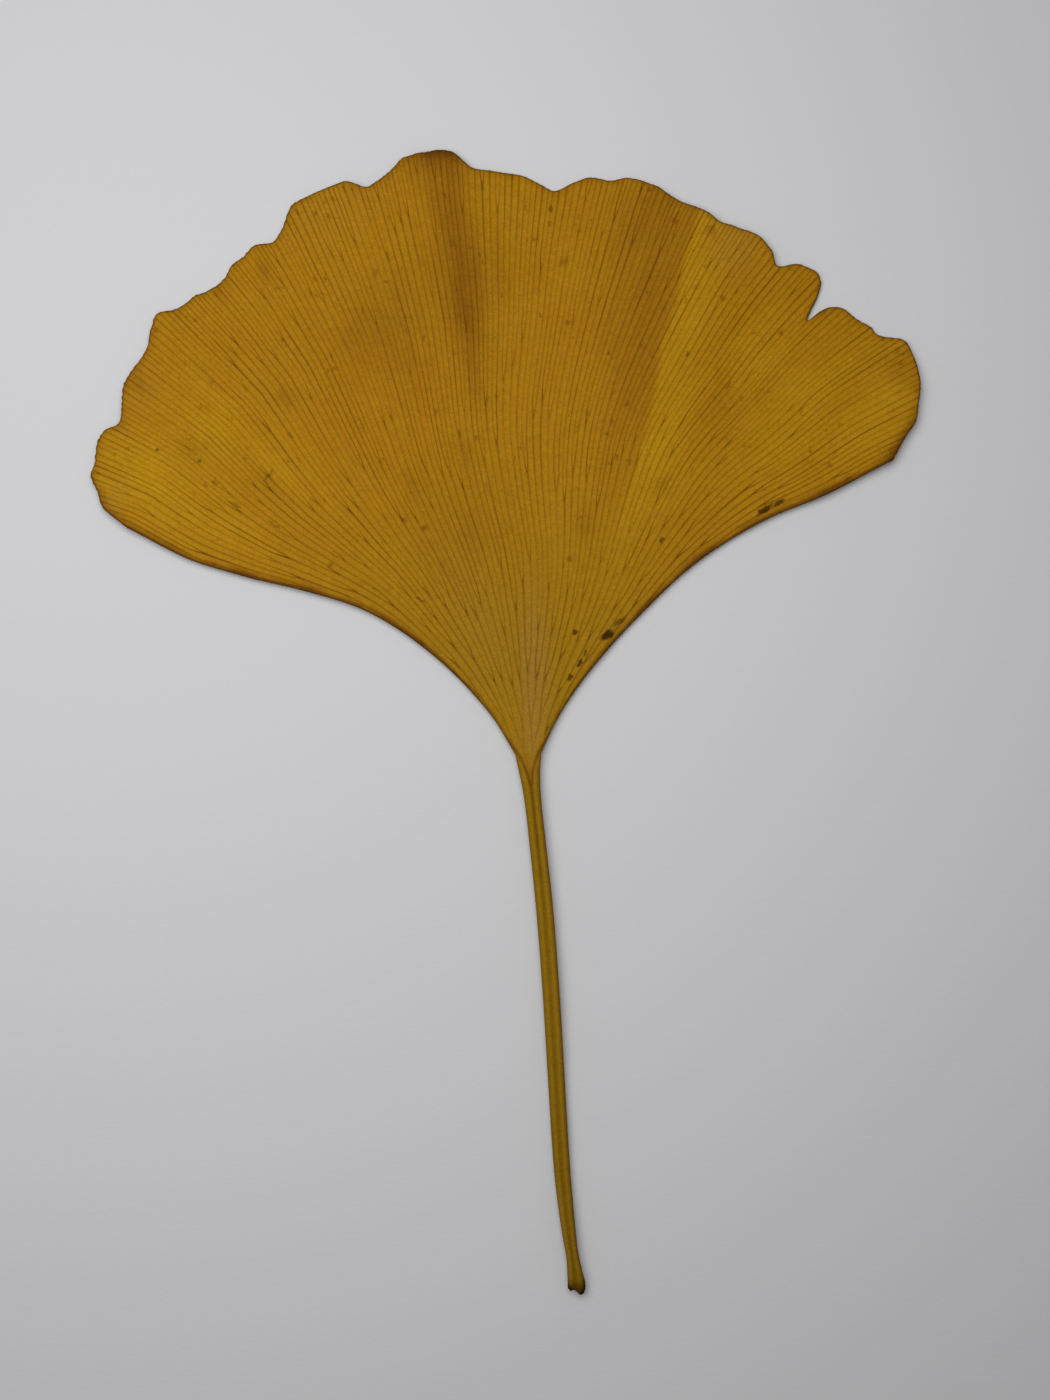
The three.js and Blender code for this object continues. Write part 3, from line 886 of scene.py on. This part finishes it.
# Where each mark starts to show, where it shows in full, and how strongly it covers what lies under it
MARKS = {
    "warm": (0.4, 0.6, 0.3), "olive": (42, 14, 0.75),
    "spot flock": (0.46, 0.6, 1), "dash": (0.62, 0.7, 0.5), "dash flock": (0.5, 0.62, 1),
    "tone": (0.3, 0.7, 0.4), "strong tone": (0.56, 0.68, 0.16), "outer tone": (5, 0.4, 0.14),
    # Of the stalk's marks, the one down its right flank is painted shade, and the two on its left flank
    # near the torn end place a painted highlight.
    "groove": (0.4, 0, 0.6), "sides": (0.45, 1, 0.35), "right side shade": (0.5, 1, 0.25),
    "highlight side": (-0.3, -0.8, 0.4), "highlight near end": (-34, -41, 1),
    "torn rim": (0.15, 0.07, 0.75), "torn end": (-47.3, -47.9, 1), "bark": (0.55, 1, 1),
    "bundle": (0.22, 0.04, 0.7), "bundles start": (-16, -3, 1), "bundles end": (8, 4.6, 1),
    "fringe": (1.6, 0.4, 1), "rim": (0.42, 0.2, 0.62), "speck": (1.15, 0.5, 1),
    "foot light": (8, 34, 0.065), "end light": (-50, -26, 0.14),
}
CLOUDS_IN_WARMTH = 0.55
ORANGE_COVER = 0.5
UMBER_COVER = 0.35
PALE_COVER = 0.75
BROWN_TONE = 0.18
VEIN_COVER = 0.5
HALO_COVER = 0.3
HALO_SHARPNESS = 2
FRINGE_UMBER = 0.35
FRINGE_RIM = 0.8
# How uneven a few limits are, and where the bundles part and over how far, in millimetres
FOOT_UNEVENNESS = 10
TORN_UNEVENNESS = 0.06
FRINGE_UNEVENNESS = 1.2
RIM_UNEVENNESS = 0.24
BUNDLES_PART_AT = -0.8
BUNDLES_PART_OVER = 5.6
# Light that the noises leave and add, and that the foot and the torn end keep
LEAST_LIGHT = 0.43
GRAIN_LIGHT = 0.6
MOTTLE_LIGHT = 0.36
BLOTCH_LIGHT = 0.16
FOOT_LIGHT = 0.945
END_LIGHT = 0.86
# Bumps as strength and depth, roughness and sheen
LEAF_BUMP = (0.3, 0.05 * MM)
LEAF_ROUGHNESS = 0.52
GRAIN_ROUGHNESS = 0.16
LEAF_SHEEN = 0.05
FLOOR_BUMP = (0.25, 0.08 * MM)
FLOOR_ROUGHNESS = 0.85
FLOOR_SHEEN = 0.1
FLOOR_FIBRES = (900, 3, 0.6)
FIBRES_DRAWN_OUT = (1, 2.6, 1)
FLOOR_TONE = 0.985
FIBRE_TONE = 0.03


class Tissue(Finish):
    """Finish of the leaf: what every vertex stores, the noises, and the marks made from them."""

    def __init__(self, name, colours):
        super().__init__(name)
        self.colours = colours
        self.flat = self.vector_maths("MULTIPLY", self.place(), (1, 1, 0))
        for value in ("along", "across", "edge", "stalk", "brown"):
            setattr(self, value, self.stored(value))
        for noise, kind in NOISES.items():
            setattr(self, noise, self.noise(self.flat, *kind))
        self.off_middle = self.size(self.across)
        self.blade = 1 - self.stalk
        self.streaks = self.fan_noise(self.stalk * STREAK_DEPTH, *STREAKS)

    def size(self, value):
        return self.maths("ABSOLUTE", value, 0)

    def fan_noise(self, depth, across, along, detail, roughness):
        place = self.vector(self.across * across, self.along * along, depth)
        return self.noise(place, 1, detail, roughness)

    def mark(self, name, value):
        start, end, cover = MARKS[name]
        return self.step(value, start, end) * cover

    def laid(self, base, colour, share):
        """A base with one of the leaf's colours laid over it."""
        return self.blend(base, opaque(getattr(self.colours, colour)), share)

    def tissue(self):
        """The blade's own colours, from an olive foot to golden lobes, with browned and pale places."""
        tissue = self.laid(opaque(self.colours.amber), "gold", self.stored("gold"))
        warmth = self.clouds * CLOUDS_IN_WARMTH + self.streaks * (1 - CLOUDS_IN_WARMTH)
        warmth = self.mark("warm", warmth) + self.stored("orange") * ORANGE_COVER
        tissue = self.laid(tissue, "orange", warmth)
        near_foot = self.mark("olive", self.along + self.clouds * FOOT_UNEVENNESS)
        tissue = self.laid(tissue, "olive", near_foot)
        tissue = self.laid(tissue, "umber", self.brown * (UMBER_COVER + self.streaks))
        return self.laid(tissue, "pale", self.stored("pale") * PALE_COVER)

    def spotted(self, tissue):
        """Adds diffuse spots, small ones in flocks and a few larger, and short dashes along the veins."""
        frayed = self.frayed(self.flat, *SPOT_DRIFT)
        small = self.spots(frayed, *SMALL_SPOTS) * self.mark("spot flock", self.spot_flocks)
        spots = self.maths("MAXIMUM", small, self.spots(frayed, *LARGE_SPOTS))
        tissue = self.laid(tissue, "umber", spots * self.blade)
        dashes = self.mark("dash", self.fan_noise(DASH_DEPTH, *DASHES))
        dashes = dashes * self.mark("dash flock", self.dash_flocks)
        return self.laid(tissue, "umber", dashes * self.blade)

    def veined(self, tissue, on_vein):
        """Adds the veins, each darker or fainter than its neighbours and none of one tone throughout."""
        tone = self.fan_noise(TONE_DEPTH, *TONES)
        lined = self.mark("tone", tone) + self.mark("strong tone", tone)
        lined = lined + self.mark("outer tone", self.edge) + self.brown * BROWN_TONE
        if on_vein:
            return self.laid(tissue, "vein", lined + VEIN_COVER)
        halo = self.stored("vein") ** HALO_SHARPNESS * self.blade
        return self.laid(tissue, "vein", halo * (lined + HALO_COVER))

    def bark(self):
        """Stalk's skin round its orange groove, darker down its sides and along its torn end, with painted
        shade down its right flank and a painted highlight on its left flank near the torn end.
        """
        groove = self.mark("groove", self.off_middle)
        bark = self.laid(opaque(self.colours.stalk), "groove", groove)
        # Both flanks darker, and the right one more so as painted shade on the side away from the lamp.
        sides = self.mark("sides", self.off_middle) + self.mark("right side shade", self.across)
        bark = self.laid(bark, "umber", sides)
        # Painted highlight: the pale colour laid on the stalk's left flank near its torn end, where the
        # lamp catches it.
        painted_highlight = self.mark("highlight side", self.across) * self.mark("highlight near end", self.along)
        bark = self.laid(bark, "pale", painted_highlight)
        torn = self.mark("torn rim", self.edge + self.mottle * TORN_UNEVENNESS)
        return self.laid(bark, "dead", torn * self.mark("torn end", self.along))

    def bundled(self, shaded):
        """Adds the two dark bundles that leave the groove at the foot and run out to the margins."""
        spread = (self.along - BUNDLES_PART_AT) / BUNDLES_PART_OVER
        aside = self.off_middle - self.maths("MAXIMUM", spread, 0)
        bundles = self.mark("bundle", self.size(aside)) * self.mark("bundles start", self.along)
        return self.laid(shaded, "umber", bundles * self.mark("bundles end", self.along))

    def rimmed(self, shaded):
        """Adds the blade's browned fringe and its dried rim."""
        fringe = self.mark("fringe", self.edge + self.blotches * FRINGE_UNEVENNESS) * self.blade
        shaded = self.laid(shaded, "umber", fringe * FRINGE_UMBER)
        shaded = self.laid(shaded, "rim", fringe * self.brown * self.brown * FRINGE_RIM)
        rim = self.mark("rim", self.edge + self.mottle * RIM_UNEVENNESS)
        return self.laid(shaded, "rim", rim * self.blade)

    def specked(self, shaded, foot):
        """Adds the dead specks, each an uneven oval."""
        frayed = self.frayed(self.flat, *SPECK_DRIFT)
        specks = 0
        for x, y, length, width, lean, strength in SPECKS:
            oval = self.node("ShaderNodeMapping", {
                "Vector": frayed,
                "Location": ((x + foot[0]) * MM, (y + foot[1]) * MM, 0),
                "Rotation": (0, 0, -math.radians(lean)),
                "Scale": (width * MM, length * MM, 1),
            }, vector_type="TEXTURE")
            reach = self.vector_maths("LENGTH", oval, (0, 0, 0), "Value")
            specks = self.maths("MAXIMUM", self.mark("speck", reach) * strength, specks)
        return self.laid(shaded, "dead", specks)

    def lit(self, shaded):
        """Adds the finest unevenness in tone, and a foot and a torn end that are a little darker."""
        light = self.grain * GRAIN_LIGHT + self.mottle * MOTTLE_LIGHT + self.blotches * BLOTCH_LIGHT
        light = light + LEAST_LIGHT
        light = light * (self.mark("foot light", self.along) + FOOT_LIGHT)
        light = light * (self.mark("end light", self.along) + END_LIGHT)
        return self.blend(shaded, self.vector(light, light, light), 1, "MULTIPLY")


def tissue_finish(name, colours, foot, on_vein):
    """Blade and stalk, or the veins on them, from one set of colours and marks."""
    finish = Tissue(name, colours)
    shaded = finish.veined(finish.spotted(finish.tissue()), on_vein)
    shaded = finish.blend(shaded, finish.bark(), finish.mark("bark", finish.stalk))
    shaded = finish.specked(finish.rimmed(finish.bundled(shaded)), foot)
    return finish.surface({
        "Base Color": finish.lit(shaded),
        "Roughness": LEAF_ROUGHNESS + finish.grain * GRAIN_ROUGHNESS,
        "Specular IOR Level": LEAF_SHEEN,
        "Normal": finish.bump(finish.grain + finish.mottle + finish.blotches, *LEAF_BUMP),
    })


def floor_finish(colour):
    finish = Finish("pale_floor")
    place = finish.vector_maths("MULTIPLY", finish.place(), FIBRES_DRAWN_OUT)
    fibres = finish.noise(place, *FLOOR_FIBRES)
    tone = FLOOR_TONE + fibres * FIBRE_TONE
    return finish.surface({
        "Base Color": finish.blend(opaque(colour), finish.vector(tone, tone, tone), 1.0, "MULTIPLY"),
        "Roughness": FLOOR_ROUGHNESS,
        "Specular IOR Level": FLOOR_SHEEN,
        "Normal": finish.bump(fibres, *FLOOR_BUMP),
    })


def colour_choice(name, description, default):
    return bpy.props.FloatVectorProperty(
        name=name, description=description, subtype="COLOR", size=3, min=0, max=1, default=default,
    )


def length_choice(name, description, default, low, high):
    return bpy.props.FloatProperty(
        name=name, description=description, subtype="DISTANCE", unit="LENGTH", precision=5,
        default=default, min=low, max=high,
    )


class BladeSizes(bpy.types.PropertyGroup):
    thickness: length_choice("Thickness", "Thickness of the blade", 0.38 * MM, 0.1 * MM, 1.0 * MM)
    ridge_height: length_choice(
        "Ridge height", "Swell of the tissue along a vein", 0.03 * MM, 0.0, 0.2 * MM)
    vein_pitch: length_choice(
        "Vein pitch", "Distance between veins before they fork", 0.54 * MM, 0.4 * MM, 3.0 * MM)
    row_spacing: length_choice(
        "Row spacing", "Length of a face along the veins", 0.8 * MM, 0.5 * MM, 5.0 * MM)
    relief: length_choice(
        "Relief", "Unevenness of the blade between its waves", 0.05 * MM, 0.0, 0.3 * MM)
    seed: bpy.props.IntProperty(
        name="Seed", description="Which veins fork first", default=7, min=0)


class VeinSizes(bpy.types.PropertyGroup):
    width: length_choice("Width", "Width of a vein out in the blade", 0.2 * MM, 0.05 * MM, 1 * MM)
    height: length_choice(
        "Height", "How far a vein stands proud of the tissue", 0.02 * MM, 0.0, 0.3 * MM)
    sides: bpy.props.IntProperty(
        name="Sides", description="Sides of a vein's section", default=6, min=3, max=16)


class LeafColours(bpy.types.PropertyGroup):
    amber: colour_choice("Amber", "Tissue over most of the blade", srgb(169, 120, 11))
    orange: colour_choice("Orange", "Warmer clouds in the tissue", srgb(161, 106, 6))
    gold: colour_choice("Gold", "Yellower tissue of the lobes", srgb(183, 139, 12))
    olive: colour_choice("Olive", "Tissue round the foot", srgb(160, 120, 10))
    # Umber also darkens the stalk's flanks, and on the right flank it is painted shade.
    umber: colour_choice("Umber", "Browned tissue", srgb(112, 65, 0))
    # Pale also paints the highlight on the stalk's left flank near its torn end.
    pale: colour_choice("Pale", "Bleached tissue", srgb(160, 119, 46))
    vein: colour_choice("Vein", "Veins", srgb(102, 56, 0))
    rim: colour_choice("Rim", "Dried outer rim", srgb(78, 45, 2))
    stalk: colour_choice("Stalk", "Skin of the stalk", srgb(146, 112, 14))
    groove: colour_choice("Groove", "Groove down the stalk", srgb(124, 80, 4))
    dead: colour_choice("Dead", "Dead specks and the torn end", srgb(54, 29, 0))


class StageChoices(bpy.types.PropertyGroup):
    floor: colour_choice("Floor", "Colour of the floor", srgb(212, 212, 214))
    key_power: bpy.props.FloatProperty(
        name="Key light", description="Power of the soft light", unit="POWER", default=0.245, min=0)
    fill: bpy.props.FloatProperty(
        name="Fill light", description="Strength of the light all round", default=0.19, min=0)


def leaf_sheet():
    return LeafSheet(bpy.context.scene.ginkgo_blade)


class LEAF_OT_grow_blade(bpy.types.Operator):
    """Grow the blade and its stalk as one closed sheet"""

    bl_idname = "ginkgo.grow_blade"
    bl_label = "Grow Blade"

    def execute(self, context):
        sheet = leaf_sheet()
        piece = finished_object("leaf_blade", blade_mesh(sheet))
        colours = context.scene.ginkgo_colours
        foot = shift_to_frame(sheet)
        piece.data.materials.append(tissue_finish("leaf_tissue", colours, foot, on_vein=False))
        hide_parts("leaf")
        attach(piece, "root")
        return {"FINISHED"}


class LEAF_OT_draw_veins(bpy.types.Operator):
    """Draw the forking veins that stand proud on both faces of the blade"""

    bl_idname = "ginkgo.draw_veins"
    bl_label = "Draw Veins"

    def execute(self, context):
        sheet = leaf_sheet()
        veins = context.scene.ginkgo_veins
        foot = shift_to_frame(sheet)
        material = tissue_finish("vein_tissue", context.scene.ginkgo_colours, foot, on_vein=True)
        inputs = {"Fullness": 1.0, "Sides": veins.sides, "Finish": material}
        piece = built_by_nodes("leaf_veins", vein_skeleton(sheet, veins), vein_tree(), inputs)
        if not piece.data.polygons:
            raise RuntimeError("the vein builder made no faces")
        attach(piece, "root")
        return {"FINISHED"}


# The camera's place from the blade's foot, in millimetres, and its tilt in degrees
CAMERA_FROM_FOOT = (-0.5, -8.93, 190.5)
CAMERA_TILT = 5.1
CAMERA_LENS = 50
CAMERA_SENSOR = 36
CAMERA_CLIP = 0.01
# The floor, and the lamp over the leaf with the point that it faces, in metres
FLOOR_SIZE = 3.0
FLOOR_DROP = 0.05 * MM
KEY_PLACE = (-0.04, 0.04, 0.15)
KEY_AIM = (-0.03, 0.03, 0)
KEY_SIZE = 0.2


class LEAF_OT_lay_stage(bpy.types.Operator):
    """Lay the pale floor, the soft light and the camera over the leaf"""

    bl_idname = "ginkgo.lay_stage"
    bl_label = "Lay Stage"

    def execute(self, context):
        stage = context.scene.ginkgo_stage
        mesh = bpy.data.meshes.new("floor")
        half = FLOOR_SIZE / 2
        corners = [(-half, -half), (half, -half), (half, half), (-half, half)]
        mesh.from_pydata([(x, y, -FLOOR_DROP) for x, y in corners], [], [(0, 1, 2, 3)])
        mesh.materials.append(floor_finish(stage.floor))
        placed("floor", mesh)

        lamp = bpy.data.lights.new("key", "AREA")
        lamp.shape = "DISK"
        lamp.size = KEY_SIZE
        lamp.energy = stage.key_power
        key = placed("key", lamp)
        key.location = KEY_PLACE
        aim = Vector(KEY_AIM) - Vector(KEY_PLACE)
        key.rotation_euler = aim.to_track_quat("-Z", "Y").to_euler()

        world = bpy.data.worlds.new("studio")
        world.use_nodes = True
        background = world.node_tree.nodes["Background"]
        background.inputs["Color"].default_value = (1, 1, 1, 1)
        background.inputs["Strength"].default_value = stage.fill
        context.scene.world = world
        context.scene.view_settings.view_transform = "Standard"

        view = bpy.data.cameras.new("camera")
        view.lens = CAMERA_LENS
        view.sensor_width = CAMERA_SENSOR
        view.clip_start = CAMERA_CLIP
        camera = placed("camera", view)
        camera.location = (Vector((*shift_to_frame(leaf_sheet()), 0)) + Vector(CAMERA_FROM_FOOT)) * MM
        camera.rotation_euler = (math.radians(CAMERA_TILT), 0, 0)
        context.scene.camera = camera
        return {"FINISHED"}


OPERATORS = (LEAF_OT_lay_stage, LEAF_OT_grow_blade, LEAF_OT_draw_veins)


class LEAF_PT_panel(bpy.types.Panel):
    bl_idname = "LEAF_PT_panel"
    bl_label = "Ginkgo Leaf"
    bl_space_type = "VIEW_3D"
    bl_region_type = "UI"
    bl_category = "Ginkgo Leaf"

    def draw(self, context):
        for operator in OPERATORS:
            self.layout.operator(operator.bl_idname)
        for name in CHOICES:
            box = self.layout.box()
            choices = getattr(context.scene, name)
            for prop in choices.__annotations__:
                box.prop(choices, prop)


CHOICES = {
    "ginkgo_blade": BladeSizes,
    "ginkgo_veins": VeinSizes,
    "ginkgo_colours": LeafColours,
    "ginkgo_stage": StageChoices,
}


def register():
    for choices in (*CHOICES.values(), *OPERATORS, LEAF_PT_panel):
        bpy.utils.register_class(choices)
    for name, choices in CHOICES.items():
        setattr(bpy.types.Scene, name, bpy.props.PointerProperty(type=choices))


def unregister():
    for name in CHOICES:
        delattr(bpy.types.Scene, name)
    for choices in (LEAF_PT_panel, *OPERATORS, *CHOICES.values()):
        bpy.utils.unregister_class(choices)


def main():
    register()
    bpy.ops.ginkgo.lay_stage()
    bpy.ops.ginkgo.grow_blade()
    bpy.ops.ginkgo.draw_veins()


if __name__ == "__main__":
    main()
